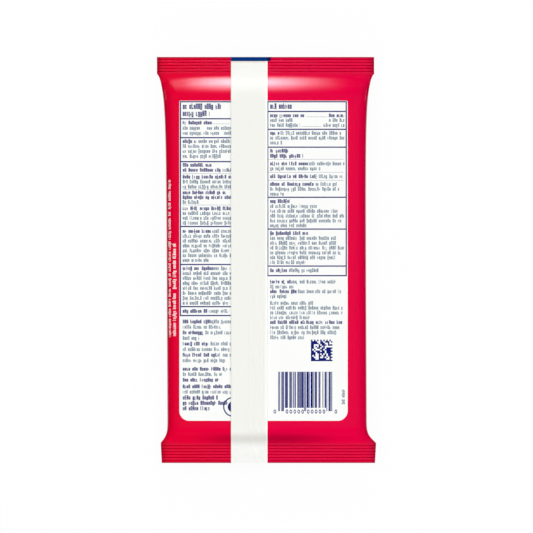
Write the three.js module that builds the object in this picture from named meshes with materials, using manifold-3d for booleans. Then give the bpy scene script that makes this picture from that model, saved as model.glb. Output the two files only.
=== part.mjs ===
// A soft pack of wet wipes, lying on its front face with its back up.
// One web of film is folded into a tube round a stack of folded wipes. A fin seal closes the tube along
// the back and is folded flat over it, and a ribbed crimp seal closes each end. A peel-back label
// on the front face covers the opening that the wipes come out of.
import * as THREE from "three";
import { toCreasedNormals } from "three/addons/utils/BufferGeometryUtils.js";
import Module from "manifold-3d";

const wasm = await Module();
wasm.setup();

// Driving dimensions, in millimetres. X runs across the pack, Y along it towards its head, Z up out of its back.
const packLength = 197;
const layFlatWidth = 105.4; // the film tube pressed flat, as at the head seal
const packThickness = 13.5; // front face to the crown of the back
const seamHeight = 6.8; // middle of the end seals above the front face
const webLean = 1.4; // how far the foot seal sits to the right of the head seal
const bodyLean = 0.8; // how much of that the body takes up, evenly along its length

const headSealLength = 8.3;
const footSealLength = 9.5;
const footSealWidth = 104.5; // at its inner edge
const footCutWidth = 103.5; // at the knife cut
const sealThickness = 0.5;
const ribPitch = 1.43;
const ribDepth = 0.36;
const ribMargin = 0.45; // plain film between the ribs and the knife cut

const finWidth = 17.7;
const finRootX = 0.5; // the fin's fold, right of the pack's middle
const finThickness = 0.4;
const finGap = 0.3; // air under the fin at its fold
const finLift = 0.3; // how much more air there is under its free edge
const finRootWidth = 0.6;
const finFoldRadius = 0.2;
const finSink = 0.2; // how deep the crimps press the fin into the end seals
const finPressReach = 4; // how far from an end seal the fin is still held down

const labelWidth = 58;
const labelLength = 84;
const labelThickness = 0.3;
const labelCornerRadius = 9;
const labelShift = 4; // towards the head
const tabWidth = 24;
const tabLength = 7;
const tabRadius = 6;

// How the film rises from each end seal to the full thickness, and how the outline narrows there.
// The stack has settled towards the foot, so that end is the fuller one.
const headRiseReach = 6.75;
const headRiseSharpness = 1.7;
const footRiseReach = 4.6;
const footRiseSharpness = 1.6;
const headFlareReach = 9.1;
const headFlareSharpness = 0.7;
const footFlareReach = 3.1;
const footFlareSharpness = 1.45;

// The section is a flattened oval: 2 is an ellipse-like flank and more is a boxier one.
const backSquareness = 22;
const frontSquareness = 22;
const restingShare = 0.06; // how much of the front's bulge is pressed flat by lying on it

const columns = 22; // steps across each face of the film
const bodyStations = 18; // steps from each end seal to the middle
const stationGrading = 2.2; // how closely they crowd the end seals
const finColumns = 6;

// Sizes that follow from those above.
const headCutY = packLength / 2;
const footCutY = -packLength / 2;
const headEdgeY = headCutY - headSealLength;
const footEdgeY = footCutY + footSealLength;
const halfSeal = sealThickness / 2;
const frontZ = labelThickness;
const seamZ = frontZ + seamHeight;
const headCentreX = (layFlatWidth - footSealWidth) / 4 - webLean / 2;
const finFreeX = finRootX - finWidth;
const girth = 2 * layFlatWidth;

const mix = (from, to, share) => from + (to - from) * share;
const clamp = (value, low, high) => Math.min(Math.max(value, low), high);

// 1 at an end seal's inner edge, falling to 0 with distance into the pack.
function nearSeal(distance, reach, sharpness) {
  return Math.exp(-Math.pow(Math.max(distance, 0) / reach, sharpness));
}

// Share of the full thickness: 0 in the end seals and 1 over the stack of wipes.
function riseAt(y) {
  const atHead = nearSeal(headEdgeY - y, headRiseReach, headRiseSharpness);
  const atFoot = nearSeal(y - footEdgeY, footRiseReach, footRiseSharpness);
  return (1 - atHead) * (1 - atFoot);
}

// Height of a face above or below the seam, as a share of its bulge, at x = offset * halfWidth.
// Next to the seals the film makes a pointed lens, and over the stack a box with round flanks.
function bulge(offset, squareness, rise) {
  const flatness = mix(2, squareness, rise);
  const roundness = mix(1, 0.5, rise);
  const inside = 1 - Math.pow(Math.min(Math.abs(offset), 1), flatness);
  return Math.pow(Math.max(inside, 0), roundness);
}

function backHeight(offset, rise) {
  const fullBulge = packThickness - seamHeight - halfSeal;
  return seamZ + halfSeal + fullBulge * rise * bulge(offset, backSquareness, rise);
}

function frontHeight(offset, rise) {
  const fullBulge = (seamHeight - halfSeal) * (1 + restingShare);
  const free = seamZ - halfSeal - fullBulge * rise * bulge(offset, frontSquareness, rise);
  return Math.max(free, frontZ);
}

// Points of one face across the pack, crowded towards the flanks, where the film turns most.
function faceCurve(height, halfWidth, rise, steps) {
  const curve = [];
  for (let i = 0; i <= steps; i++) {
    const offset = Math.sin(Math.PI * (i / steps - 0.5));
    curve.push(new THREE.Vector2(offset * halfWidth, height(offset, rise)));
  }
  return curve;
}

function lengthOf(curve) {
  return curve.slice(1).reduce((sum, point, i) => sum + point.distanceTo(curve[i]), 0);
}

// Film doesn't stretch, so the half width over the stack is the one whose section has the tube's girth.
function halfWidthOfGirth() {
  let low = 0;
  let high = girth / 4;
  for (let i = 0; i < 40; i++) {
    const halfWidth = (low + high) / 2;
    const around = [backHeight, frontHeight]
      .map((height) => lengthOf(faceCurve(height, halfWidth, 1, 240)))
      .reduce((sum, length) => sum + length, 2 * sealThickness);
    if (around > girth) high = halfWidth;
    else low = halfWidth;
  }
  return low;
}

const bodyHalfWidth = halfWidthOfGirth();

// Half the pack's width: straight at the head seal, tapered at the foot seal, drawn in between them.
function halfWidthAt(y) {
  const atHead = nearSeal(headEdgeY - y, headFlareReach, headFlareSharpness);
  const atFoot = nearSeal(y - footEdgeY, footFlareReach, footFlareSharpness);
  const taper = clamp((footEdgeY - y) / footSealLength, 0, 1);
  const headFlare = layFlatWidth / 2 - bodyHalfWidth;
  const footFlare = mix(footSealWidth, footCutWidth, taper) / 2 - bodyHalfWidth;
  return bodyHalfWidth + headFlare * atHead + footFlare * atFoot;
}

function centreAt(y) {
  const alongBody = clamp((headEdgeY - y) / (headEdgeY - footEdgeY), 0, 1);
  const atFoot = nearSeal(y - footEdgeY, footFlareReach, footFlareSharpness);
  return headCentreX + bodyLean * alongBody + (webLean - bodyLean) * atFoot;
}

// Stations of an end seal from its knife cut inwards, as distance from the cut and height of the film.
// Each rib is a flat ridge and a V groove, pressed through both layers, so that both faces follow it.
function ribStations(sealLength) {
  const ridge = ribDepth / 2;
  const stations = [{ distance: 0, lift: ridge }];
  const count = Math.floor((sealLength - 2 * ribMargin) / ribPitch);
  for (let i = 0; i < count; i++) {
    const start = ribMargin + i * ribPitch;
    stations.push({ distance: start, lift: ridge });
    stations.push({ distance: start + ribPitch * 0.25, lift: -ridge });
    stations.push({ distance: start + ribPitch * 0.5, lift: ridge });
  }
  return stations;
}

// All stations from the head's knife cut to the foot's, each with its y and the lift of the ribs there.
function packStations() {
  const head = ribStations(headSealLength).map((s) => ({ y: headCutY - s.distance, lift: s.lift }));
  const foot = ribStations(footSealLength).map((s) => ({ y: footCutY + s.distance, lift: s.lift }));
  const half = (headEdgeY - footEdgeY) / 2;
  const crowded = Array.from({ length: bodyStations + 1 }, (_, i) =>
    half * Math.pow(i / bodyStations, stationGrading),
  );
  const fromHead = crowded.map((distance) => ({ y: headEdgeY - distance, lift: 0 }));
  const fromFoot = crowded.slice(0, -1).map((distance) => ({ y: footEdgeY + distance, lift: 0 }));
  return [...head, ...fromHead, ...fromFoot.reverse(), ...foot.reverse()];
}

// Points at the given shares of a curve's length, so that each column of the loft is one thread of the film.
function alongCurve(curve, shares) {
  const total = lengthOf(curve);
  let index = 0;
  let passed = 0;
  return shares.map((share) => {
    const target = share * total;
    while (index < curve.length - 2 && passed + curve[index].distanceTo(curve[index + 1]) < target) {
      passed += curve[index].distanceTo(curve[index + 1]);
      index += 1;
    }
    const step = curve[index].distanceTo(curve[index + 1]);
    return curve[index].clone().lerp(curve[index + 1], clamp((target - passed) / step, 0, 1));
  });
}

// One closed section of the film: the back from left to right, then the front from right to left.
function filmSection({ y, lift }) {
  const rise = riseAt(y);
  const halfWidth = halfWidthAt(y);
  const shares = Array.from({ length: columns + 1 }, (_, i) => (1 - Math.cos((Math.PI * i) / columns)) / 2);
  const back = alongCurve(faceCurve(backHeight, halfWidth, rise, 240), shares);
  const front = alongCurve(faceCurve(frontHeight, halfWidth, rise, 240), shares).reverse();
  return [...back, ...front].map((p) => new THREE.Vector3(p.x + centreAt(y), y, p.y + lift));
}

// One closed section of the fin: its top from the free edge to the fold, its root sunk into the film, and its underside.
function finSection({ y, lift }) {
  const rise = riseAt(y);
  const surface = (x) => backHeight((x - centreAt(y)) / halfWidthAt(y), rise) + lift;
  const fromSeal = Math.min(headEdgeY - y, y - footEdgeY);
  const free = 1 - nearSeal(fromSeal, finPressReach, 2);
  const air = (x) => mix(-finSink, finGap + (finLift * (finRootX - x)) / finWidth, free);
  const underside = (x) => surface(x) + air(x);
  const innerX = finRootX - finRootWidth;
  const across = (endX) => Array.from({ length: finColumns + 1 }, (_, i) => mix(finFreeX, endX, i / finColumns));
  const rootZ = surface(finRootX) - halfSeal - finSink / 2;
  const top = across(finRootX - finFoldRadius).map((x) => [x, underside(x) + finThickness]);
  const fold = [
    [finRootX, underside(finRootX) + finThickness - finFoldRadius],
    [finRootX, rootZ],
    [innerX, rootZ],
  ];
  const below = across(innerX)
    .map((x) => [x, underside(x)])
    .reverse();
  return [...top, ...fold, ...below].map(([x, z]) => new THREE.Vector3(x, y, z));
}

// A solid through a row of closed sections that all have the same number of points.
function loft(sections) {
  const size = sections[0].length;
  const triangles = [];
  for (let s = 0; s + 1 < sections.length; s++) {
    for (let i = 0; i < size; i++) {
      const next = (i + 1) % size;
      const [a, b] = [s * size + i, s * size + next];
      const [c, d] = [a + size, b + size];
      triangles.push([a, c, b], [b, c, d]);
    }
  }
  const cap = (section) =>
    THREE.ShapeUtils.triangulateShape(section.map((p) => new THREE.Vector2(p.x, p.z)), []);
  const last = (sections.length - 1) * size;
  triangles.push(...cap(sections[0]).map(([a, b, c]) => [a, c, b]));
  triangles.push(...cap(sections.at(-1)).map(([a, b, c]) => [last + a, last + b, last + c]));
  const vertProperties = Float32Array.from(sections.flat().flatMap((p) => [p.x, p.y, p.z]));
  const triVerts = Uint32Array.from(triangles.flat());
  return new wasm.Manifold(new wasm.Mesh({ numProp: 3, vertProperties, triVerts }));
}

function geometryOf(solid) {
  const { vertProperties, triVerts } = solid.getMesh();
  const geometry = new THREE.BufferGeometry();
  geometry.setAttribute("position", new THREE.BufferAttribute(vertProperties, 3));
  geometry.setIndex(new THREE.BufferAttribute(triVerts, 1));
  return toCreasedNormals(geometry, Math.PI / 5);
}

// Film tube, both end seals and the fin: one web of film, closed round the stack of wipes.
function filmPack() {
  const stations = packStations();
  const tube = loft(stations.map(filmSection));
  const fin = loft(stations.map(finSection));
  const film = new THREE.MeshStandardMaterial({ color: 0xe50742, roughness: 0.32, metalness: 0 });
  const mesh = new THREE.Mesh(geometryOf(tube.add(fin)), film);
  mesh.name = "film_pack";
  return mesh;
}

// Outline of the label: a rectangle with round corners and a lifting tab in the middle of its head end.
function labelOutline() {
  const x = labelWidth / 2;
  const y = labelLength / 2;
  const r = labelCornerRadius;
  const tab = tabWidth / 2;
  const outline = new THREE.Shape();
  outline.moveTo(-x + r, -y);
  outline.lineTo(x - r, -y);
  outline.absarc(x - r, -y + r, r, -Math.PI / 2, 0);
  outline.lineTo(x, y - r);
  outline.absarc(x - r, y - r, r, 0, Math.PI / 2);
  outline.lineTo(tab, y);
  outline.lineTo(tab, y + tabLength - tabRadius);
  outline.absarc(tab - tabRadius, y + tabLength - tabRadius, tabRadius, 0, Math.PI / 2);
  outline.lineTo(-tab + tabRadius, y + tabLength);
  outline.absarc(-tab + tabRadius, y + tabLength - tabRadius, tabRadius, Math.PI / 2, Math.PI);
  outline.lineTo(-tab, y);
  outline.lineTo(-x + r, y);
  outline.absarc(-x + r, y - r, r, Math.PI / 2, Math.PI);
  outline.lineTo(-x, -y + r);
  outline.absarc(-x + r, -y + r, r, Math.PI, Math.PI * 1.5);
  return outline;
}

// The label lies face down on the ground, with the flat front of the film on top of it.
function resealLabel() {
  const geometry = new THREE.ExtrudeGeometry(labelOutline(), {
    depth: labelThickness,
    bevelEnabled: false,
    curveSegments: 8,
  });
  const film = new THREE.MeshStandardMaterial({ color: 0xf3f3ee, roughness: 0.4, metalness: 0 });
  const mesh = new THREE.Mesh(geometry, film);
  mesh.name = "reseal_label";
  mesh.position.y = labelShift;
  return mesh;
}

const pack = new THREE.Group();
pack.name = "wet_wipes_pack";
pack.add(filmPack(), resealLabel());

export default pack;
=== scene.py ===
# %% [markdown]
# A soft pack of wet wipes
#
# The real pack is one web of printed film. A machine folds it into a tube round a stack of folded wipes,
# seals its two edges together along the back, folds that fin flat, and crimps both ends with ribbed jaws.
# It lies on its front face here, so the camera looks down on its back.
# A finely sampled mesh of the web stands for the plain solid of the packed model, and the print is all in
# the material. We start by loading that model, because its places and sizes are the ones to keep to.

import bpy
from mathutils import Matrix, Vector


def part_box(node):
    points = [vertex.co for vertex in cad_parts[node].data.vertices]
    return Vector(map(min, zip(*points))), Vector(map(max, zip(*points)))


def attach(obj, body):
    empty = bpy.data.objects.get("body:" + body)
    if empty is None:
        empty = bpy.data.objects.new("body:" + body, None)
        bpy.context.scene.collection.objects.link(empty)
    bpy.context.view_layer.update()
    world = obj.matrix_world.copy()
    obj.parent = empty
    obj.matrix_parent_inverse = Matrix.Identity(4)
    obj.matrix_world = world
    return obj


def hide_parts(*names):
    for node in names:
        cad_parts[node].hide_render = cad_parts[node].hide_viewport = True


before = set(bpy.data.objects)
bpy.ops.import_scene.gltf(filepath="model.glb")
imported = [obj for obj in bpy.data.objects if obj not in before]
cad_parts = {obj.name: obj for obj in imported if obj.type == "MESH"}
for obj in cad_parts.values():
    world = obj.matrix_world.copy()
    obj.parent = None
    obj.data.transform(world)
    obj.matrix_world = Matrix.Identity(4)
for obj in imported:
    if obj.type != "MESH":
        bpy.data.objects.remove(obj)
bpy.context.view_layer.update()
print("nodes:", sorted(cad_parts))

# %% Tools and units
import math

import bpy
import numpy as np
from mathutils import Vector

MM = 0.001
print("sizes below are in millimetres and become metres when a mesh is made")

# %% [markdown]
# Sizes of the pack
#
# The length and the height of the front face come from the packed model. The others are the ones that a
# packer would set: how wide the tube is when it is pressed flat, how long each crimp is, how the fin lies.

# %% Sizes of the tube and its seals
film_low, film_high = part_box("film_pack")
label_low, label_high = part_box("reseal_label")
pack_length = (film_high.y - film_low.y) / MM
front_z = label_high.z / MM
lay_flat_width = 105.4
pack_thickness = 13.5
seam_height = 6.8
web_lean = 1.4
body_lean = 0.8
head_seal_length = 8.3
foot_seal_length = 9.5
foot_seal_width = 104.5
foot_cut_width = 103.5
seal_thickness = 0.5

head_cut_y = pack_length / 2
foot_cut_y = -pack_length / 2
head_edge_y = head_cut_y - head_seal_length
foot_edge_y = foot_cut_y + foot_seal_length
half_seal = seal_thickness / 2
seam_z = front_z + seam_height
girth = 2 * lay_flat_width
print(f"pack {pack_length:.1f} mm long, {lay_flat_width:.0f} mm wide when flat, seams at {seam_z:.1f} mm")

# %% Sizes of the ribs and the fin
rib_pitch = 1.43
rib_depth = 0.36
rib_margin = 0.92
fin_width = 17.7
fin_root_x = 0.5
fin_root_width = 0.6
fin_thickness = 0.4
fin_gap = 0.3
fin_lift = 0.3
fin_press_reach = 4.0
fin_pressed_thickness = 0.2
fin_rib_share = 0.12
fin_free_x = fin_root_x - fin_width
print(f"fin from x = {fin_free_x:.1f} to {fin_root_x:.1f} mm")

# %% How the film rises from the seals
head_rise = (6.75, 1.7)
foot_rise = (4.6, 1.6)
head_flare = (9.1, 0.7)
foot_flare = (3.1, 1.45)
back_squareness = 22.0
front_squareness = 22.0
resting_share = 0.06
print("rise and flare: reach in mm and sharpness", head_rise, foot_rise, head_flare, foot_flare)

# %% [markdown]
# The shape of a section
#
# Cut the pack across and the film makes a closed loop. Film doesn't stretch, so every loop is as long as the
# tube's girth. Close to a crimp the loop is a thin lens, and over the wipes it is a box with round flanks.
# It could be sculpted by hand, but one formula for the section, blended by how far the film has risen,
# keeps the flanks, the crimps and the outline in step.

# %% Section formulas
def mix(low, high, share):
    return low + (high - low) * share


def near_seal(distance, reach, sharpness):
    """1 at an end seal's inner edge, falling to 0 with distance into the pack."""
    return np.exp(-((np.maximum(distance, 0) / reach) ** sharpness))


def rise_at(y):
    return (1 - near_seal(head_edge_y - y, *head_rise)) * (1 - near_seal(y - foot_edge_y, *foot_rise))


def bulge(offset, squareness, rise):
    flatness = mix(2, squareness, rise)
    roundness = mix(1, 0.5, rise)
    return np.maximum(1 - np.minimum(np.abs(offset), 1) ** flatness, 0) ** roundness


def back_height(offset, rise):
    full_bulge = pack_thickness - seam_height - half_seal
    return seam_z + half_seal + full_bulge * rise * bulge(offset, back_squareness, rise)


def front_height(offset, rise):
    full_bulge = (seam_height - half_seal) * (1 + resting_share)
    free = seam_z - half_seal - full_bulge * rise * bulge(offset, front_squareness, rise)
    return np.maximum(free, front_z)


print(f"crown of the back at {back_height(0.0, 1.0):.2f} mm")

# %% Half width of each section
across = np.sin(np.pi * (np.linspace(0, 1, 401) - 0.5))


def run_of(x, z):
    """Distance along a curve to each of its points."""
    return np.concatenate([[0], np.cumsum(np.hypot(np.diff(x), np.diff(z)))])


def half_width_of_girth():
    low, high = 0.0, girth / 4
    for _ in range(40):
        half = (low + high) / 2
        faces = [run_of(across * half, height(across, 1.0))[-1] for height in (back_height, front_height)]
        low, high = (low, half) if sum(faces) + 2 * seal_thickness > girth else (half, high)
    return low


body_half_width = half_width_of_girth()


def half_width_at(y):
    taper = min(max((foot_edge_y - y) / foot_seal_length, 0), 1)
    head = (lay_flat_width / 2 - body_half_width) * near_seal(head_edge_y - y, *head_flare)
    foot = (mix(foot_seal_width, foot_cut_width, taper) / 2 - body_half_width)
    return body_half_width + head + foot * near_seal(y - foot_edge_y, *foot_flare)


def centre_at(y):
    head_centre = (lay_flat_width - foot_seal_width) / 4 - web_lean / 2
    along_body = min(max((head_edge_y - y) / (head_edge_y - foot_edge_y), 0), 1)
    at_foot = near_seal(y - foot_edge_y, *foot_flare)
    return head_centre + body_lean * along_body + (web_lean - body_lean) * at_foot


print(f"the body is {2 * body_half_width:.1f} mm wide")

# %% [markdown]
# Ribs of the crimps
#
# Heated jaws press a row of straight grooves through both layers. The packed model has them as flat V cuts.
# Pressed film has no sharp edges, so here each groove is one wave, and the ridge beside it stays flat.

# %% Height of the ribs
def rib_lift(distance, seal_length):
    """Height of the film over the middle of the seal, at a distance from its knife cut."""
    count = math.floor((seal_length - rib_margin) / rib_pitch)
    phase = (distance - rib_margin) / rib_pitch
    inside = (phase >= 0) & (phase < count)
    groove = inside & (np.mod(phase, 1) < 0.5)
    lift = np.where(groove, np.cos(4 * np.pi * np.mod(phase, 1)), 1.0) * rib_depth / 2
    last = rib_margin + (count - 0.5) * rib_pitch
    fade = np.clip((seal_length - distance) / (seal_length - last), 0, 1)
    return lift * np.where(distance > last, fade * fade * (3 - 2 * fade), 1)


def lift_at(y):
    head = np.where(y > head_edge_y, rib_lift(head_cut_y - y, head_seal_length), 0)
    foot = np.where(y < foot_edge_y, rib_lift(y - foot_cut_y, foot_seal_length), 0)
    return head + foot


print("ribs:", math.floor((head_seal_length - rib_margin) / rib_pitch), "at the head,",
      math.floor((foot_seal_length - rib_margin) / rib_pitch), "at the foot")

# %% Where the sections are cut
def stations():
    """The y of each section, from the head's knife cut to the foot's."""
    seal_step = rib_pitch / 10
    half = (head_edge_y - foot_edge_y) / 2
    crowded = half * np.linspace(0, 1, 72) ** 1.9
    head = np.linspace(head_cut_y, head_edge_y, round(head_seal_length / seal_step), endpoint=False)
    foot = np.linspace(foot_edge_y, foot_cut_y, round(foot_seal_length / seal_step) + 1)[1:]
    return np.concatenate([head, head_edge_y - crowded, (foot_edge_y + crowded[:-1])[::-1], foot])


section_y = stations()
print(len(section_y), "sections")

# %% [markdown]
# One section of the web, fin and all
#
# The web starts at the left flank, runs to the middle of the back, turns over on itself as the underside of
# the fin, comes back along the fin's top, turns down at the fold and runs on to the right flank and front.
# One closed loop of points says all that, so the film is one surface, as the real web is.
# Each stretch has its own spacing: close at the flanks and at the fin's sealed stripes, wide on the front.

# %% Spacing of the points
left_shares = 1 - np.cos(np.linspace(0, np.pi / 2, 60))
right_shares = np.sin(np.linspace(0, np.pi / 2, 60))
front_shares = (1 - np.cos(np.linspace(0, np.pi, 46))) / 2
fin_fold_radius = 0.2
fin_stripe_x = -8.86
fin_top_x = np.concatenate([
    np.linspace(fin_free_x + 0.12, fin_stripe_x, 9)[:-1],
    np.linspace(fin_stripe_x, fin_root_x - fin_fold_radius, 54),
])
fin_under_x = np.linspace(fin_free_x + 0.12, fin_root_x - fin_root_width, 14)[::-1]
print("points along the fin's top:", len(fin_top_x))

# %% Sealed stripes of the fin
stripe_pitch = 1.72
stripe_depth = 0.16
faint_share = 0.15
faint_y, deep_y = 12.0, -28.0
fold_width = 0.9


def stripes(x, y):
    """Depth of the lengthwise stripes that the sealing rollers leave, deepest in the lower half."""
    share = np.clip((faint_y - y) / (faint_y - deep_y), 0, 1)
    inside = np.clip((x - fin_stripe_x) / 0.8, 0, 1) * np.clip((fin_root_x - fold_width - x) / 0.6, 0, 1)
    wave = 0.5 - 0.5 * np.cos(2 * np.pi * (x - fin_stripe_x) / stripe_pitch)
    return stripe_depth * mix(faint_share, 1, share) * inside * wave ** 2


print(f"stripes every {stripe_pitch} mm")

# %% Loop of points at one section
def film_loop(y):
    """Points (x, z) round the web at y, and each point's place across the web as mm from x = 0."""
    rise, half, centre = rise_at(y), half_width_at(y), centre_at(y)
    lift = float(lift_at(np.array(y)))
    x_back = centre + across * half
    z_back = back_height(across, rise) + lift
    run = run_of(x_back, z_back)
    zero = np.interp(0, x_back, run)
    root_left = np.interp(fin_root_x - fin_root_width, x_back, run)
    root_right = np.interp(fin_root_x, x_back, run)

    def on_back(distance):
        return np.column_stack([np.interp(distance, run, x_back), np.interp(distance, run, z_back)])

    left_run = left_shares * root_left
    right_run = root_right + right_shares * (run[-1] - root_right)

    free = 1 - near_seal(min(head_edge_y - y, y - foot_edge_y), fin_press_reach, 2)
    bed = mix(rib_depth / 2, 0, free)

    def under(x):
        air = mix(0.01, fin_gap + fin_lift * (fin_root_x - x) / fin_width, free)
        return back_height((x - centre) / half, rise) + bed + air

    thick = mix(fin_pressed_thickness, fin_thickness, free)
    rib = fin_rib_share * (lift - rib_depth / 2) * (1 - free)
    top = np.column_stack([fin_top_x, under(fin_top_x) + thick + rib - stripes(fin_top_x, y)])
    below = np.column_stack([fin_under_x, under(fin_under_x)])
    edge_z = under(fin_free_x)
    edge = [[fin_free_x, edge_z + 0.25 * thick], [fin_free_x, edge_z + 0.75 * thick]]
    fold_z = under(fin_root_x) + thick
    turn = fin_fold_radius * 0.3
    fold = [[fin_root_x - turn, fold_z - turn], [fin_root_x, fold_z - fin_fold_radius]]

    x_front = centre + across * half
    z_front = front_height(across, rise) + lift
    run_front = run_of(x_front, z_front)
    front_run = run_front[-1] * (1 - front_shares)
    front = np.column_stack([np.interp(front_run, run_front, x_front),
                             np.interp(front_run, run_front, z_front)])

    parts = [on_back(left_run), below, edge, top, fold, on_back(right_run), front]
    places = [left_run - zero, fin_under_x, [fin_free_x] * 2, fin_top_x, [fin_root_x] * 2,
              right_run - zero, run[-1] - zero + seal_thickness + run_front[-1] - front_run]
    return parts, places


part_names = ["left back", "fin underside", "fin edge", "fin top", "fin fold", "right back", "front"]
print("one loop:", [len(part) for part in film_loop(0.0)[0]])

# %% [markdown]
# The web as one mesh
#
# Blender could join a tube and a strip with a boolean, but that leaves odd faces along the join.
# The loops already hold both, so a grid of them is enough: a quad between each pair of neighbours along
# the pack, and two flat faces at each knife cut, one for the tube and one for the fin.

# %% Build the grid of points
def film_points():
    loops = [film_loop(y) for y in section_y]
    rings = [np.concatenate(parts) for parts, marks in loops]
    points = [np.column_stack([ring[:, 0], np.full(len(ring), y), ring[:, 1]])
              for y, ring in zip(section_y, rings)]
    marks = [np.concatenate(marks) for parts, marks in loops]
    return np.array(points), np.array(marks), [len(part) for part in loops[0][0]]


grid, web_u, part_sizes = film_points()
row_count, ring_size = web_u.shape
part_ends = np.cumsum(part_sizes)
root_left, root_right = part_ends[0] - 1, part_ends[4]
print(f"{row_count} sections of {ring_size} points")

# %% Faces of the web
def film_faces():
    """The quads of the grid, then two caps at each end, each as places in the list of points."""
    row, column = np.divmod(np.arange((row_count - 1) * ring_size), ring_size)
    after = (column + 1) % ring_size
    quads = np.stack([row * ring_size + column, (row + 1) * ring_size + column,
                      (row + 1) * ring_size + after, row * ring_size + after], axis=-1)
    tube = np.r_[0:root_left + 1, root_right:ring_size]
    fin = np.arange(root_left, root_right + 1)
    last = (row_count - 1) * ring_size
    return quads, [tube, fin, last + tube[::-1], last + fin[::-1]]


quads, caps = film_faces()
print(len(quads), "quads and", len(caps), "caps")

# %% [markdown]
# Places on the web
#
# The print needs to know where it is on the flat web, in millimetres: across from the middle of the back and
# along from the middle of the pack. A UV layer can hold such lengths, as a UV needn't lie between 0 and 1.
# A second layer has the same points packed into a square, so that the surface can be saved as one image.

# %% Strips of the packed layer
# Each strip of the web: its range in millimetres, then its range in the square.
bake_strips = {
    "back": (-54.0, 54.0, 0.004, 0.716),
    "fin": (fin_free_x - 0.5, fin_root_x + 0.5, 0.724, 0.850),
    "front": (51.0, 160.0, 0.858, 0.960),
    "under": (fin_free_x - 0.5, fin_root_x + 0.5, 0.968, 0.996),
}


def strip_of(column):
    if root_left <= column < part_ends[1]:
        return "under"
    if root_left <= column < root_right:
        return "fin"
    return "back" if column < part_ends[5] - 1 else "front"


strips = np.array([bake_strips[strip_of(column)] for column in range(ring_size)])
print("strips of the packed layer:", ", ".join(bake_strips))

# %% Corner values of both layers
def corner_layers():
    """The web layer and the packed layer: a pair of numbers for each corner, quads first and caps after."""
    u = np.concatenate([web_u, web_u[:, -1:] + seal_thickness], axis=1)
    row, column = np.divmod(np.arange(len(quads)), ring_size)
    rows = np.stack([row, row + 1, row + 1, row], axis=-1)
    columns = np.stack([column, column, column + 1, column + 1], axis=-1)
    web = np.stack([u[rows, columns], section_y[rows]], axis=-1)
    from_low, from_high, to_low, to_high = strips[column].T[:, :, None]
    share = np.clip((web[..., 0] - from_low) / (from_high - from_low), 0, 1)
    along = 0.02 + 0.97 * (web[..., 1] - foot_cut_y) / pack_length
    packed = np.stack([to_low + share * (to_high - to_low), along], axis=-1)
    cap_points = [grid.reshape(-1, 3)[cap] for cap in caps]
    cap_web = [points[:, :2] for points in cap_points]
    cap_packed = [np.column_stack([0.01 + 0.4 * (i % 2) + (points[:, 0] + 55) / 400,
                                   0.002 + 0.006 * (i // 2) + points[:, 2] / 5000])
                  for i, points in enumerate(cap_points)]
    return (np.concatenate([web.reshape(-1, 2), *cap_web]),
            np.concatenate([packed.reshape(-1, 2), *cap_packed]))


web_corners, packed_corners = corner_layers()
print("packed layer from", packed_corners.min(axis=0).round(3), "to", packed_corners.max(axis=0).round(3))

# %% Make the mesh
def make_film():
    mesh = bpy.data.meshes.new("film_web")
    faces = [*quads.tolist(), *(cap.tolist() for cap in caps)]
    mesh.from_pydata((grid.reshape(-1, 3) * MM).tolist(), [], faces)
    for name, corners in (("web", web_corners), ("OFBake", packed_corners)):
        mesh.uv_layers.new(name=name).data.foreach_set("uv", corners.astype(np.float32).ravel())
    on_fin = np.array([strip_of(column) in ("fin", "under") for column in range(ring_size)])
    middle_y = (section_y[1:] + section_y[:-1]) / 2
    in_crimp = (middle_y > head_edge_y) | (middle_y < foot_edge_y)
    slots = np.where(on_fin[None, :], 1, np.where(in_crimp[:, None], 2, 0))
    mesh.polygons.foreach_set("material_index", [*slots.ravel().tolist(), 2, 1, 2, 1])
    mesh.polygons.foreach_set("use_smooth", np.ones(len(faces), dtype=bool))
    mesh.set_sharp_from_angle(angle=math.radians(50))
    mesh.update()
    piece = bpy.data.objects.new("film_web", mesh)
    bpy.context.scene.collection.objects.link(piece)
    return piece


film_web = make_film()
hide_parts("film_pack")
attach(film_web, "root")
print(f"film_web has {len(film_web.data.polygons)} faces")

# %% Check that the film is closed
def open_edges(mesh):
    counts = {}
    for face in mesh.polygons:
        for key in face.edge_keys:
            counts[key] = counts.get(key, 0) + 1
    return sum(count != 2 for count in counts.values())


print("open edges of film_web:", open_edges(film_web.data))

# %% [markdown]
# Arithmetic for materials
#
# A print is many small decisions: is a point in a frame, on a rule, in a row of text? Nodes can answer each
# of them, but hundreds of nodes are hard to read. One small class lets us write them as sums in Python:
# it wraps a socket, and each operator adds the Math node that does it.

# %% A value that nodes work out
class Field:
    """A number that varies over a surface. Operators on it add Math nodes."""

    def __init__(self, nodes, socket):
        self.nodes = nodes
        self.socket = socket

    def math(self, operation, *others, first=None):
        values = [self, *others] if first is None else [first, self, *others]
        return self.nodes.node("ShaderNodeMath", {"operation": operation}, dict(enumerate(values)))

    def __add__(self, other):
        return self.math("ADD", other)

    def __sub__(self, other):
        return self.math("SUBTRACT", other)

    def __rsub__(self, other):
        return self.math("SUBTRACT", first=other)

    def __mul__(self, other):
        return self.math("MULTIPLY", other)

    def __truediv__(self, other):
        return self.math("DIVIDE", other)

    def __lt__(self, other):
        return self.math("LESS_THAN", other)

    def __gt__(self, other):
        return self.math("GREATER_THAN", other)

    __radd__ = __add__
    __rmul__ = __mul__

    def out(self, name):
        """Another output of the same node."""
        return Field(self.nodes, self.socket.node.outputs[name])


print("Field:", ", ".join(name for name in vars(Field) if not name.startswith("__")))

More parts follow.
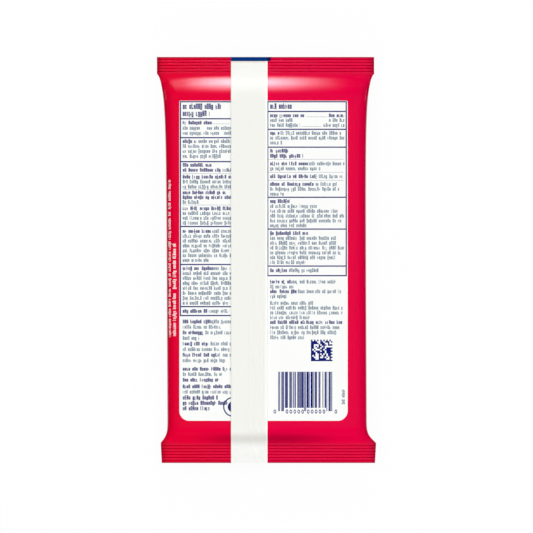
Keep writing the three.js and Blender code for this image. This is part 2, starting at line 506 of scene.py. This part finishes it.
# %% A set of nodes
class Nodes:
    """The nodes of one material or world."""

    def __init__(self, owner):
        owner.use_nodes = True
        self.owner = owner
        self.tree = owner.node_tree
        self.tree.nodes.clear()

    def node(self, kind, settings=None, sockets=None, output=0):
        """Adds a node, sets its settings, then its sockets' values or links, and returns one output."""
        node = self.tree.nodes.new(kind)
        for name, value in (settings or {}).items():
            setattr(node, name, value)
        for name, value in (sockets or {}).items():
            if isinstance(value, Field):
                self.tree.links.new(value.socket, node.inputs[name])
            else:
                node.inputs[name].default_value = value
        return Field(self, node.outputs[output]) if len(node.outputs) else node

    def web_places(self):
        """Places across and along the flat web, in millimetres."""
        web = self.node("ShaderNodeUVMap", {"uv_map": "web"})
        across_web = self.node("ShaderNodeSeparateXYZ", None, {0: web}, output="X")
        return across_web, across_web.out("Y")

    def place(self, axis):
        place = self.node("ShaderNodeTexCoord", output="Object")
        return self.node("ShaderNodeSeparateXYZ", None, {0: place}, output=axis)

    def finish(self, surface):
        self.node("ShaderNodeOutputMaterial", None, {"Surface": surface})
        return self.owner


print("Nodes:", ", ".join(name for name in vars(Nodes) if not name.startswith("__")))

# %% Colours
def srgb(red, green, blue):
    """A colour as a picture editor shows it, from 0 to 255, turned into the light that it stands for."""
    def linear(part):
        part = part / 255
        return part / 12.92 if part <= 0.04045 else ((part + 0.055) / 1.055) ** 2.4
    return (linear(red), linear(green), linear(blue), 1)


film_red = srgb(229, 0, 64)
film_red_left = srgb(229, 0, 51)
print("film red as light:", tuple(round(part, 3) for part in film_red[:3]))

# %% Masks
def near(field, middle, half):
    """1 where a field is within half of a middle, and 0 elsewhere."""
    return field.math("COMPARE", middle, half)


def between(field, low, high):
    return near(field, (low + high) / 2, (high - low) / 2)


def ramp(field, start, end):
    """0 before a start and 1 after an end, and a straight rise from one to the other."""
    return ((field - start) / (end - start)).math("MAXIMUM", 0).math("MINIMUM", 1)


def fade(field):
    """1 where a field is 0, falling to 0 as the field grows."""
    return field.math("POWER", first=math.exp(-1))


def choose(mask, inside, outside):
    return outside + mask * (inside - outside)


def blend_colours(nodes, share, low, high):
    return nodes.node("ShaderNodeMix", {"data_type": "RGBA"}, {0: share, 6: low, 7: high}, output=2)


print("masks are 1 inside and 0 outside")

# %% [markdown]
# The printed layout
#
# Red film carries a white panel with two framed columns of small print, a square code, a bar code and a ring.
# A picture could be laid on the film, but it would blur up close, so the layout is written as lengths in
# millimetres on the web and drawn by nodes. The small print only has the look of text: rows of marks as
# long and as dark as words would be, with no letters in them.

# %% Panel and frames
panel_left, panel_right = -42.2, 39.3
panel_top, panel_bottom = 77.1, -77.85
panel_radius = 4.85
line_half = 0.3
left_frame = (-41.7, -3.3, -26.9, 76.6)
right_frame = (0.6, 38.6, -7.6, 76.6)
left_rules = [68.35, 59.2, 47.6, 16.2, -2.2, -22.6]
right_rules = [71.9, 63.25, 54.6, 30.35, 14.95, -2.95]
left_dots = [41.8, 34.1, 26.6]
right_dots = [48.7, 42.4, 38.5]
leaders = [(69.3, 19.4, 29.2), (64.6, 17.2, 26.6), (65.9, -25.9, -18.0)]
left_text, right_text = -40.6, 1.7
print(f"panel {panel_right - panel_left:.1f} x {panel_top - panel_bottom:.1f} mm")

# %% A paragraph of small print
right_shift = 200.0


def paragraph(column, start, rows=1, pitch=2.36, bold=0, lead=0, first=36, last=None, restart=99, size=1.0):
    """Rows of small print in one column, in millimetres. The start is the middle of the first row."""
    start = start + (right_shift if column == "right" else 0)
    last = first if last is None else last
    middle, half = start - (rows - 1) * pitch / 2, rows * pitch / 2 + (size - 1) * 0.5
    return (middle, half), (start, pitch, rows), (bold, lead, first), (last, restart, size)


# %% Paragraphs of the left column
left_paragraphs = [
    paragraph("left", 74.3, 2, 3.4, bold=2, first=18.6, last=13.0, size=1.5),
    paragraph("left", 66.5, bold=1, first=14.2),
    paragraph("left", 63.9, first=8.3, restart=11.8),
    paragraph("left", 61.5, first=17.6, restart=20.0),
    paragraph("left", 57.5, 4, 2.4, lead=6.6, last=19.2),
    paragraph("left", 46.0, bold=1, first=14.0),
    paragraph("left", 43.6, bold=1),
    paragraph("left", 40.3, 3, 2.4, bold=1, last=23.4),
    paragraph("left", 32.7, 3, 2.3, bold=2, first=21.0, last=7.8),
    paragraph("left", 25.0, 4, 2.33, bold=1),
    paragraph("left", 14.0, 7, 2.35, lead=13.6, last=12.5),
    paragraph("left", -4.0, 8, 2.4, lead=14.5, last=22.0),
    paragraph("left", -24.7, lead=12.0, first=22.0),
    paragraph("left", -29.8, 2, 2.6, lead=13.5, last=19.0),
    paragraph("left", -35.1, 2, 2.7, lead=11.0, last=8.0),
    paragraph("left", -40.5, 2, 2.7, lead=12.0),
    paragraph("left", -45.9, 2, 2.7, lead=16.0, last=20.5),
    paragraph("left", -52.7, 2, 2.6, lead=20.0, last=19.0),
    paragraph("left", -58.0, bold=1, first=17.5),
    paragraph("left", -61.2, 2, 2.6, bold=1),
    paragraph("left", -66.6, 3, 2.6, bold=3, first=17.0, last=13.0, size=1.12),
]
print(len(left_paragraphs), "paragraphs in the left column")

# %% Paragraphs of the right column
right_paragraphs = [
    paragraph("right", 74.4, bold=1, first=11.3, size=1.5),
    paragraph("right", 70.0, bold=1, first=16.6, restart=28.4),
    paragraph("right", 67.7, first=10.8, restart=28.4),
    paragraph("right", 65.3, first=14.5, restart=25.8),
    paragraph("right", 61.5, 3, 2.35, lead=4.5, first=34.4, last=5.8),
    paragraph("right", 52.9, 2, 2.5, bold=2, first=8.7, last=16.0),
    paragraph("right", 46.7, 2, 2.4, lead=18.8, last=24.5),
    paragraph("right", 40.5, lead=21.5, first=35.0),
    paragraph("right", 36.8, 3, 2.4, lead=22.4, first=32.3, last=7.6),
    paragraph("right", 28.5, bold=1, first=9.5),
    paragraph("right", 26.1, 5, 2.35, first=23.3, last=17.6),
    paragraph("right", 13.0, bold=1, first=18.4),
    paragraph("right", 10.6, 6, 2.34, first=32.0, last=17.0),
    paragraph("right", -5.0, lead=9.5, first=24.0),
    paragraph("right", -10.5, 2, 2.4, lead=10.0, first=32.0, last=11.5),
    paragraph("right", -15.2, 2, 2.35, lead=13.0, first=34.5, last=8.0),
    paragraph("right", -20.8, 4, 2.33, first=21.0, last=20.0),
    paragraph("right", -30.1, bold=1, first=35.0),
    paragraph("right", -32.6, 3, 2.43, first=33.5, last=16.5),
]
print(len(right_paragraphs), "paragraphs in the right column")

# %% Upright rows
# Rows that run up the web: middle across, lowest and highest place.
side_rows = [(-46.9, -37.4, 38.8), (-44.5, -36.9, 7.9), (37.3, -69.9, -62.6)]


def web_at(x):
    """Place on the flat web of a point of the back that is seen at x, in the middle of the pack."""
    half, centre = half_width_at(0.0), centre_at(0.0)
    xs = centre + across * half
    run = run_of(xs, back_height(across, rise_at(0.0)))
    return float(np.interp(x, xs, run) - np.interp(0, xs, run))


side_rows = [(web_at(x), low, high) for x, low, high in side_rows]
print("upright rows at", [round(row[0], 1) for row in side_rows])

# %% Codes and the ring
square_code = (21.5, -49.0, 0.746, 14)
bar_left, bar_module, bar_count = 5.66, 0.275, 95
group_modules, guard_end, ink_spread = 7, 2.5, 0.36
bar_top, bar_low, bar_lowest = -54.1, -71.6, -73.2
mark_v, mark_half = -73.4, (0.62, 0.98)
mark_places = [(9.9, 5), (20.2, 5), (4.05, 1), (33.6, 1)]
mark_pitch = 1.9
ring_middle, ring_radius, ring_disc = (-16.2, -71.1), 4.5, 2.6
print("bar code", bar_module * bar_count, "mm wide")

# %% [markdown]
# Rows of marks
#
# A row of text is a row of cells as wide as letters, broken into words. Each cell holds one mark: one or two
# upright strokes and some of three level ones, picked by white noise, so it looks like a letter and spells
# nothing. To keep the nodes few, the pattern is made once: masks pick the values of the paragraph a point
# is in, and one formula turns them into ink.

# %% Pick the values of one paragraph
def pick(nodes, masks, triples):
    """Three fields that hold the three numbers of whichever mask is 1."""
    total = (0, 0, 0)
    add = {"operation": "MULTIPLY_ADD"}
    for mask, triple in zip(masks, triples):
        total = nodes.node("ShaderNodeVectorMath", add, {0: mask, 1: triple, 2: total})
    x = nodes.node("ShaderNodeSeparateXYZ", None, {0: total}, output="X")
    return x, x.out("Y"), x.out("Z")


def white_noise(nodes, first, second):
    """Three random numbers, the same all over one cell."""
    place = nodes.node("ShaderNodeCombineXYZ", None, {0: first, 1: second})
    flat = {"noise_dimensions": "2D"}
    noise = nodes.node("ShaderNodeTexWhiteNoise", flat, {"Vector": place}, output="Color")
    red = nodes.node("ShaderNodeSeparateColor", None, {0: noise}, output=0)
    return red, red.out("Green"), red.out("Blue")


print("random numbers come from white noise, so they are the same in every run")

# %% Where a point is in its row
letter_width = 0.84
bold_width = 0.92
letter_height = 1.36
row_shift = 0.2
shortest_row, longest_row = 30.0, 36.0


def row_places(nodes, u, v):
    """Distance along the row, height in it, its number, bold, size, and whether it is inked there."""
    right = u > (left_frame[1] + right_frame[0]) / 2
    t = v + right * right_shift
    paragraphs = left_paragraphs + right_paragraphs
    masks = [near(t, *span) for span, *values in paragraphs]
    start, pitch, rows = pick(nodes, masks, [values[0] for span, *values in paragraphs])
    bold_rows, lead, first = pick(nodes, masks, [values[1] for span, *values in paragraphs])
    last, restart, size = pick(nodes, masks, [values[2] for span, *values in paragraphs])
    row = ((start - t) / (pitch + 0.0001) + 0.5).math("FLOOR")
    row = row.math("MAXIMUM", 0).math("MINIMUM", rows - 1)
    middle = start - row * pitch
    x = u - left_text - right * (right_text - left_text)
    is_first, is_last = near(row, 0, 0.5), near(row, rows - 1, 0.5)
    bold = (row < bold_rows).math("MAXIMUM", is_first * (x < lead))
    scatter = (middle * 12.9898).math("SINE").math("ABSOLUTE")
    ragged = shortest_row + (longest_row - shortest_row) * scatter
    length = choose(is_first, first, choose(is_last, last, ragged))
    inked = (x > 0) * (x < length).math("MAXIMUM", (x > restart) * (x < longest_row)) * (size > 0.5)
    return x, t - middle + row_shift, middle, bold, size.math("MAXIMUM", 0.1), inked


print("letters", letter_width, "mm wide, bold ones", bold_width, "mm")

# %% One mark
ascender, descender = 0.42, 0.38
left_stroke, right_stroke = 0.26, 0.74
level_strokes = ((0.1, 8), (0.5, 4), (0.9, 2))


def letter_mark(across_mark, height, bold, noise):
    """Upright and level strokes that stand for one letter and spell nothing."""
    tall, low, shape = noise
    top = letter_height / 2 + ascender * (tall > 0.66)
    bottom = -letter_height / 2 - descender * (low > 0.9)
    share = (height - bottom) / (top - bottom)
    half = 0.14 + 0.05 * bold
    second = near(across_mark, right_stroke, half) * (shape > 0.25)
    uprights = near(across_mark, left_stroke, half).math("MAXIMUM", second)
    level = 0
    for place, scale in level_strokes:
        level = near(share, place, 0.11) * ((shape * scale).math("FRACT") > 0.4) + level
    return near(share, 0.5, 0.5) * uprights.math("MAXIMUM", level * near(across_mark, 0.5, 0.36))


print("a mark is", letter_height, "mm high")

# %% Ink of the small print
marks_to_a_gap = 6


def small_print(nodes, u, v):
    x, height, number, bold, size, inked = row_places(nodes, u, v)
    side = [near(u, middle, 1.2) * between(v, low, high) for middle, low, high in side_rows]
    any_side = side[0] + side[1] + side[2]
    side_values = [(row[0], row[1], 500 + i) for i, row in enumerate(side_rows)]
    side_middle, side_low, side_number = pick(nodes, side, side_values)
    x = choose(any_side, v - side_low, x)
    height = choose(any_side, side_middle - u, height)
    number = choose(any_side, side_number, number)
    bold = bold * (1 - any_side)
    size = choose(any_side, 0.9, size)
    inked = choose(any_side, 1.0, inked)
    cell = x / ((0.7 + 0.3 * size) * (letter_width + bold * (bold_width - letter_width)))
    letter = cell.math("FLOOR")
    word = (letter / marks_to_a_gap).math("FLOOR")
    gap, _, _ = white_noise(nodes, word, number + 0.31)
    is_gap = near(letter - word * marks_to_a_gap, (gap * 3.99).math("FLOOR") + 2, 0.5)
    mark = letter_mark(cell - letter, height / size, bold, white_noise(nodes, letter, number))
    return mark * inked * (1 - is_gap), any_side, bold


print("every", marks_to_a_gap, "marks hold one gap")

# %% Ink of the frames and the rules
dot_half, dot_pitch, dot_share, dot_ink = 0.17, 0.72, 0.6, 0.6


def frame_ink(u, v, frame_sides):
    left, right, bottom, top = frame_sides
    grown, shrunk = [between(u, left - edge, right + edge) * between(v, bottom - edge, top + edge)
                     for edge in (line_half, -line_half)]
    return grown - shrunk


def level_lines(t, left_places, right_places, half):
    """Lines at places in the left column and places in the right one."""
    lines = 0
    for place in left_places + [place + right_shift for place in right_places]:
        lines = near(t, place, half) + lines
    return lines


def rule_ink(u, v):
    right = u > (left_frame[1] + right_frame[0]) / 2
    t = v + right * right_shift
    rules = level_lines(t, left_rules, right_rules, line_half)
    dotted = level_lines(t, left_dots, right_dots, dot_half) * between(u, left_text, right_frame[1] - 1.3)
    for place, start, end in leaders:
        dotted = near(v, place, dot_half) * between(u, start, end) + dotted
    dot = (u / dot_pitch).math("FRACT") < dot_share
    frames = frame_ink(u, v, left_frame) + frame_ink(u, v, right_frame)
    inside = between(u, left_frame[0], right_frame[1])
    return frames.math("MAXIMUM", rules * inside), dot * dot_ink * dotted


print("rules are", 2 * line_half, "mm thick")

# %% Ink of the codes and the ring
def square_ink(nodes, u, v):
    left, bottom, cell, count = square_code
    i, j = ((u - left) / cell).math("FLOOR"), ((v - bottom) / cell).math("FLOOR")
    inside = between(i, -0.5, count - 0.5) * between(j, -0.5, count - 0.5)
    even_i, even_j = (i / 2).math("FRACT") < 0.25, (j / 2).math("FRACT") < 0.25
    random, _, _ = white_noise(nodes, i, j + 0.5)
    core = (random > 0.38) * between(i, 0.5, count - 1.5) * between(j, 0.5, count - 1.5)
    border = near(i, 0, 0.5).math("MAXIMUM", near(j, 0, 0.5))
    ticks = (near(j, count - 1, 0.5) * even_i).math("MAXIMUM", near(i, count - 1, 0.5) * even_j)
    return inside * core.math("MAXIMUM", border).math("MAXIMUM", ticks)


def bar_ink(nodes, u, v):
    """Random bars, two to each group of seven modules, and guard bars at the ends and in the middle."""
    place = (u - bar_left) / bar_module - bar_count / 2
    outward = place.math("ABSOLUTE")
    group = ((outward - guard_end) / group_modules).math("FLOOR")
    along = outward - guard_end - group * group_modules
    other, space, wide = white_noise(nodes, group, (place > 0) + 7.5)
    bar_end = (wide * 2.99).math("FLOOR") + 1
    next_bar = bar_end + 1 + (space * (4 - bar_end)).math("FLOOR")
    next_end = next_bar + 1 + (other * 1.99).math("FLOOR")
    next_ink = between(along, next_bar - ink_spread, next_end + ink_spread)
    bars = (along < bar_end + ink_spread).math("MAXIMUM", next_ink)
    guards = 0
    for middle in (1, 45, 47):
        guards = near(outward, middle, 0.7) + guards
    tall = (outward > 37.5).math("MAXIMUM", outward < guard_end)
    ink = choose(between(outward, 2.3, 44.1), bars, guards) * (outward < bar_count / 2)
    return ink * (v < bar_top) * (v > bar_low - tall * (bar_low - bar_lowest))


def marks_ink(u, v):
    """A row of plain ovals under the bars."""
    total = 0
    for start, count in mark_places:
        place = (u - start + mark_pitch / 2) / mark_pitch
        across_mark = (place.math("FRACT") - 0.5) * (mark_pitch / mark_half[0])
        along_mark = (v - mark_v) / mark_half[1]
        distance = (across_mark * across_mark + along_mark * along_mark).math("SQRT")
        total = near(distance, 0.75, 0.25) * between(place, 0, count) + total
    return total


def ring_ink(u, v):
    across_ring, along_ring = u - ring_middle[0], v - ring_middle[1]
    distance = (across_ring * across_ring + along_ring * along_ring).math("SQRT")
    return near(distance, ring_radius, line_half).math("MAXIMUM", distance < ring_disc)


print("the square code has", square_code[3], "cells a side")

# %% Shape of the white panel
def panel_mask(u, v):
    """1 inside a rectangle with round bottom corners and nearly square top ones."""
    radius = 0.5 + (v < 0) * (panel_radius - 0.5)
    half_wide, half_high = (panel_right - panel_left) / 2, (panel_top - panel_bottom) / 2
    over_u = (u - (panel_left + panel_right) / 2).math("ABSOLUTE") - half_wide + radius
    over_v = (v - (panel_top + panel_bottom) / 2).math("ABSOLUTE") - half_high + radius
    corner_u, corner_v = over_u.math("MAXIMUM", 0), over_v.math("MAXIMUM", 0)
    inner = over_u.math("MAXIMUM", over_v).math("MINIMUM", 0)
    return (corner_u * corner_u + corner_v * corner_v).math("SQRT") + inner < radius


print("panel corners", panel_radius, "mm")

# %% [markdown]
# Painted shade and sheen on the red
#
# The red is darkened with painted shade in the bottoms of the crimps' grooves, at the folded flanks, at the
# knife cuts and in a patch over the middle of the foot's slope, and lightened with a painted sheen on the
# crimps' ridges. Light and shadow alone would show little of that on a mesh this smooth, so these places are
# part of the colour, each as a soft mask in millimetres on the web.

# %% Painted sheen and shade of the crimps
ridge_sheen_red = srgb(229, 40, 76)
groove_shade_red = srgb(165, 0, 34)


def crimp_sheen_and_shade(v):
    """Two masks: the crimps' ridges, for a painted sheen, and their grooves' bottoms, for painted shade."""
    phase = (pack_length / 2 - rib_margin - v.math("ABSOLUTE")) / rib_pitch
    inside = (phase > 0) * (phase < 5 + (v < 0))
    wave = (phase * (2 * math.pi)).math("SINE")
    return inside * (wave < 0), inside * wave.math("MAXIMUM", 0)


print("each groove of the crimps is", rib_pitch / 2, "mm wide")

# %% Painted shade of the edges and of the foot
flank_shade, cut_shade, patch_shade, fin_patch_shade = 0.5, 0.45, 0.4, 0.22
cut_width = 0.55
patch_v, patch_half_wide, patch_half_high = -86.7, 28.4, 2.8
back_half = 56.0


def edge_shade(u, v):
    """Painted shade: how much darker the film is made near its side edges and its knife cuts."""
    far = v.math("ABSOLUTE")
    in_foot = ramp(v, -86.0, -90.0)
    middle = 0.05 - 0.006 * v + 0.3 * in_foot
    inward = (girth / 4 - 0.6 * in_foot - (u - middle).math("ABSOLUTE")).math("MAXIMUM", 0)
    reach = 2 + 2 * ramp(far, 90.0, 84.0)
    sides = flank_shade * fade((inward / reach).math("POWER", 1.3))
    return choose(far > pack_length / 2 - cut_width, cut_shade, sides) * (u.math("ABSOLUTE") < back_half)


def foot_shade(u, v):
    """Painted shade: a soft dark patch over the middle of the foot's slope."""
    across_patch = (u / patch_half_wide).math("ABSOLUTE").math("POWER", 3.5)
    along_patch = ((v - patch_v) / patch_half_high).math("ABSOLUTE").math("POWER", 2)
    return fade(across_patch + along_patch)


print("the flanks lose up to", flank_shade, "of their light, the foot's patch up to", patch_shade)

# %% [markdown]
# Printed film
#
# The film is glossy polythene with the print under its outer layer, so the body has one gloss and only its
# colour changes. Its clear layer is not quite flat, and a slow noise in the normal keeps the highlight alive.
# The hot jaws take most of that gloss away, so the crimps get the same print with a duller finish.

# %% Printed film
panel_white = srgb(250, 251, 249)
ink_navy = srgb(44, 50, 116)
light_ink = srgb(70, 104, 130)
code_navy = srgb(12, 28, 116)
tail_navy = srgb(24, 18, 74)
black = (0, 0, 0, 1)
strip_v = 96.5


def printed_film(name, roughness, specular):
    nodes = Nodes(bpy.data.materials.new(name))
    u, v = nodes.web_places()
    red = blend_colours(nodes, ramp(u, -48.0, 2.0), film_red_left, film_red)
    ridge, groove = crimp_sheen_and_shade(v)
    # Painted sheen on the crimps' ridges and painted shade in the bottoms of their grooves.
    red = blend_colours(nodes, ridge * 0.2, red, ridge_sheen_red)
    red = blend_colours(nodes, groove * 0.45, red, groove_shade_red)
    panel = panel_mask(u, v)
    film = blend_colours(nodes, panel, red, panel_white)
    words, on_side, bold = small_print(nodes, u, v)
    frames, dots = rule_ink(u, v)
    text_ink = blend_colours(nodes, bold, light_ink, ink_navy)
    film = blend_colours(nodes, panel * words, film, text_ink)
    navy = panel * (frames.math("MAXIMUM", dots).math("MAXIMUM", ring_ink(u, v)))
    film = blend_colours(nodes, navy, film, ink_navy)
    codes = square_ink(nodes, u, v).math("MAXIMUM", bar_ink(nodes, u, v)).math("MAXIMUM", marks_ink(u, v))
    film = blend_colours(nodes, codes, film, code_navy)
    film = blend_colours(nodes, words * on_side * (1 - panel) * 1.25, film, panel_white)
    film = blend_colours(nodes, between(u, 0, 2.1) * (v > strip_v), film, tail_navy)
    # Painted shade at the flanks, the knife cuts and the foot's slope darkens the colour towards black.
    shade = 1 - (1 - edge_shade(u, v)) * (1 - patch_shade * foot_shade(u, v))
    film = blend_colours(nodes, shade, film, black)
    place = nodes.node("ShaderNodeTexCoord", output="Object")
    swell = nodes.node("ShaderNodeTexNoise", None, {"Vector": place, "Scale": 70.0, "Detail": 2.0})
    swell = swell * (v.math("ABSOLUTE") < 88.0)
    bump = nodes.node("ShaderNodeBump", None, {"Strength": 0.05, "Distance": 0.0006, "Height": swell})
    return nodes.finish(nodes.node("ShaderNodeBsdfPrincipled", None, {
        "Base Color": film, "Roughness": roughness, "Specular IOR Level": specular, "Normal": bump}))


film_web.data.materials.append(printed_film("printed film", 0.09, 0.4))
print("printed film:", len(film_web.data.materials[0].node_tree.nodes), "nodes")

# %% [markdown]
# Fin film
#
# The fin shows plain white film with a satin gloss. Painted shade darkens it a little over the foot's slope,
# painted light makes it a little paler over the crimps, and a painted highlight runs along its fold on the
# right.
# At the head the knife cuts through a blue strip that is printed across the fin, with a thin cream edge.

# %% Fin film
# The first white is the fin's own; the other two are painted light over the crimps and a painted highlight on
# the fold.
fin_white, fin_crimp_lightened_white, fold_highlight_white = srgb(240, 240, 235), srgb(248, 249, 245), srgb(255, 255, 252)
strip_cream, strip_blue = srgb(238, 232, 222), srgb(0, 52, 122)
cream_v = 95.6


def fin_film():
    nodes = Nodes(bpy.data.materials.new("fin film"))
    u, v = nodes.web_places()
    # Painted light makes the fin paler over the crimps, evening out the shading of their ribs.
    in_fin_crimp = ramp(v.math("ABSOLUTE"), 88.5, 90.5)
    colour = blend_colours(nodes, in_fin_crimp, fin_white, fin_crimp_lightened_white)
    colour = blend_colours(nodes, between(v, cream_v, strip_v), colour, strip_cream)
    # Painted highlight along the fold on the right.
    colour = blend_colours(nodes, between(u, fin_root_x - fold_width, fin_root_x + 1), colour, fold_highlight_white)
    colour = blend_colours(nodes, v > strip_v, colour, strip_blue)
    # Painted shade over the middle of the foot's slope.
    colour = blend_colours(nodes, fin_patch_shade * foot_shade(u, v), colour, black)
    place = nodes.node("ShaderNodeTexCoord", output="Object")
    swell = nodes.node("ShaderNodeTexNoise", None, {"Vector": place, "Scale": 90.0, "Detail": 3.0})
    bump = nodes.node("ShaderNodeBump", None, {"Strength": 0.1, "Distance": 0.0005, "Height": swell})
    return nodes.finish(nodes.node("ShaderNodeBsdfPrincipled", None, {
        "Base Color": colour, "Roughness": 0.32, "Specular IOR Level": 0.03, "Normal": bump}))


film_web.data.materials.append(fin_film())
film_web.data.materials.append(printed_film("crimped film", 0.2, 0.1))
print("fin film:", len(film_web.data.materials[1].node_tree.nodes), "nodes")

# %% [markdown]
# Reseal label
#
# The front face, which the pack lies on, has a peel-back label over the opening. It stays as the packed model
# has it and only gets its finish: satin white film with a slightly darker, finely grained pull tab.

# %% Label film
tab_length = 0.007


def label_film():
    nodes = Nodes(bpy.data.materials.new("label film"))
    on_tab = (nodes.place("Y") - label_high.y).math("ABSOLUTE") < tab_length
    colour = blend_colours(nodes, on_tab, srgb(240, 240, 236), srgb(214, 220, 226))
    place = nodes.node("ShaderNodeTexCoord", output="Object")
    grain = nodes.node("ShaderNodeTexNoise", None, {"Vector": place, "Scale": 900.0, "Detail": 3.0})
    rough = 0.38 + 0.12 * grain
    bump = nodes.node("ShaderNodeBump", None, {"Strength": 0.2, "Distance": 0.0002, "Height": grain})
    return nodes.finish(nodes.node("ShaderNodeBsdfPrincipled", None, {
        "Base Color": colour, "Roughness": rough, "Normal": bump}))


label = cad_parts["reseal_label"]
label.material_slots[0].material = label_film()
print("label from y", round(label_low.y / MM, 1), "to", round(label_high.y / MM, 1), "mm")

# %% [markdown]
# Stage, lamps and camera
#
# The pack lies on a plain white floor. It is white because it glows at a strength of 1 where the camera
# or the gloss sees it. The small rest of it is an ordinary pale surface, so the pack still throws a faint
# shadow there.
#
# One wide soft box hangs over the pack, and a long low one beyond each end lights the slopes there. The gloss
# doesn't show them. It shows a glowing card that stands beyond the head, and that reflection is the bright
# streak on the head's slope. The streak fades as the card fades, upwards and to both sides.
#
# Black cards beside the pack keep the white floor out of the flanks' gloss, which would turn their red milky.
# One more hangs over the head's crimp, with a soft lower edge. The slope sees the glowing card under it, and
# the flat back doesn't, so the back isn't washed out when it is seen low from the foot.

# %% Flat pieces of the stage
def stage_plane(name, corners, material):
    mesh = bpy.data.meshes.new(name)
    mesh.from_pydata(corners, [], [(0, 1, 2, 3)])
    mesh.materials.append(material)
    piece = bpy.data.objects.new(name, mesh)
    bpy.context.scene.collection.objects.link(piece)
    return piece


print("a stage piece is one flat face")

# %% Floor
floor_glow_share = 0.94


def white_floor():
    nodes = Nodes(bpy.data.materials.new("white floor"))
    path = nodes.node("ShaderNodeLightPath", output="Is Camera Ray")
    seen = path.math("MAXIMUM", path.out("Is Glossy Ray")).math("MAXIMUM", path.out("Is Transmission Ray"))
    pale = nodes.node("ShaderNodeBsdfDiffuse", None, {"Color": (0.9, 0.9, 0.9, 1)})
    glow = nodes.node("ShaderNodeEmission", None, {"Color": (1, 1, 1, 1), "Strength": 1.0})
    surface = nodes.node("ShaderNodeMixShader", None, {0: seen * floor_glow_share, 1: pale, 2: glow})
    return nodes.finish(surface)


floor_half = 6.0
floor_corners = [(x * floor_half, y * floor_half, 0) for x, y in ((-1, -1), (1, -1), (1, 1), (-1, 1))]
floor = stage_plane("floor", floor_corners, white_floor())
print("floor:", floor.dimensions.x, "m square")

# %% World
world_strength = 0.025
world = Nodes(bpy.data.worlds.new("studio"))
sky = world.node("ShaderNodeBackground", None, {"Color": (1, 1, 1, 1), "Strength": world_strength})
world.node("ShaderNodeOutputWorld", None, {"Surface": sky})
bpy.context.scene.world = world.owner
print("world strength:", world_strength)

# %% Lamps
def soft_box(name, place, width, height, power):
    """A lamp that faces the pack and that neither the camera nor the gloss sees."""
    lamp = bpy.data.lights.new(name, "AREA")
    lamp.shape = "RECTANGLE"
    lamp.size, lamp.size_y, lamp.energy = width, height, power
    piece = bpy.data.objects.new(name, lamp)
    piece.location = place
    piece.rotation_euler = (-Vector(place)).to_track_quat("-Z", "Y").to_euler()
    piece.visible_camera = piece.visible_glossy = False
    bpy.context.scene.collection.objects.link(piece)


soft_box("overhead", (0, 0, 1.6), 3.0, 3.0, 44.5)
soft_box("low_head", (0, 1.5, 0.4), 1.8, 0.4, 11.2)
soft_box("low_foot", (0, -1.5, 0.4), 1.8, 0.4, 11.2)

# %% Cards that only the gloss sees
def gloss_card(name, start, end, bottom, top, material):
    """An upright card over the line from a start to an end on the floor."""
    corners = [(*start, bottom), (*end, bottom), (*end, top), (*start, top)]
    piece = stage_plane(name, corners, material)
    piece.visible_camera = piece.visible_diffuse = piece.visible_shadow = False


print("cards neither light the pack nor shade it")

# %% Glowing card beyond the head
card_x, card_y = -0.0105, 0.297
card_half_width = 0.024
card_bright_height = 0.067
card_fall = 0.057
card_strength = 22.5
card_tint = (1.0, 0.99, 1.08)
skirt_shift, skirt_share = 0.065, 0.09


def card_spot(at_x, middle):
    """1 in the middle of a spot of light, 0.5 at its half width."""
    offset = ((at_x - middle) / card_half_width).math("ABSOLUTE")
    return offset.math("POWER", 2.2).math("POWER", first=0.5)


def card_light():
    nodes = Nodes(bpy.data.materials.new("glowing card"))
    at_x = nodes.place("X")
    rise = ((at_x.out("Z") - card_bright_height) / card_fall).math("MAXIMUM", 0)
    glow = card_spot(at_x, card_x) + skirt_share * card_spot(at_x, card_x - skirt_shift)
    glow = glow * fade(rise)
    tint = nodes.node("ShaderNodeVectorMath", {"operation": "SCALE"}, {0: card_tint, "Scale": glow})
    return nodes.finish(nodes.node("ShaderNodeEmission", None, {"Color": tint, "Strength": card_strength}))


card_reach = 6 * card_half_width
gloss_card("glowing_card", (card_x - card_reach, card_y), (card_x + card_reach, card_y),
           0.002, card_bright_height + 4 * card_fall, card_light())
print("the glowing card stands", card_y, "m from the middle of the pack")

# %% Black cards round the pack
beside, beyond_foot, beyond_head, step_y = 0.056, -0.108, 0.108, 0.078


def black_card(name, start, end, bottom=0.001, top=0.06, soft=0.0001):
    """A black card that fades in over a soft length at its lower edge."""
    nodes = Nodes(bpy.data.materials.new(name))
    share = ramp(nodes.place("Z"), bottom, bottom + soft)
    clear = nodes.node("ShaderNodeBsdfTransparent", None, {"Color": (1, 1, 1, 1)})
    dark = nodes.node("ShaderNodeBsdfDiffuse", None, {"Color": black})
    surface = nodes.node("ShaderNodeMixShader", None, {0: share, 1: clear, 2: dark})
    gloss_card(name, start, end, bottom, top, nodes.finish(surface))


for side, x in (("left", -beside), ("right", beside)):
    black_card(f"card_{side}", (x, beyond_foot), (x, step_y))
    black_card(f"low_card_{side}", (x, step_y), (x, beyond_head), top=0.009)
black_card("card_foot", (-beside, beyond_foot), (beside, beyond_foot))
black_card("high_card", (-0.13, 0.092), (0.13, 0.092), bottom=0.018, top=0.16, soft=0.01)
print("black cards stand", beside / MM, "mm to each side")

# %% [markdown]
# Camera
#
# The photograph looks straight down, with hardly any perspective: both ends of the pack show the same width.
# A long lens from 2.5 m gives that. The field of view is worked out from how wide the picture is on the pack.

# %% Camera
camera_height = 2.5
picture_width = 0.25875
focus_height = 0.0067
camera = bpy.data.objects.new("camera", bpy.data.cameras.new("camera"))
bpy.context.scene.collection.objects.link(camera)
camera.location = (0, -0.00316, camera_height)
camera.data.sensor_width = 36.0
camera.data.lens = camera.data.sensor_width * (camera_height - focus_height) / picture_width
camera.data.clip_end = 100
bpy.context.scene.camera = camera
bpy.context.scene.view_settings.view_transform = "Standard"
print(f"lens {camera.data.lens:.0f} mm")

# %% [markdown]
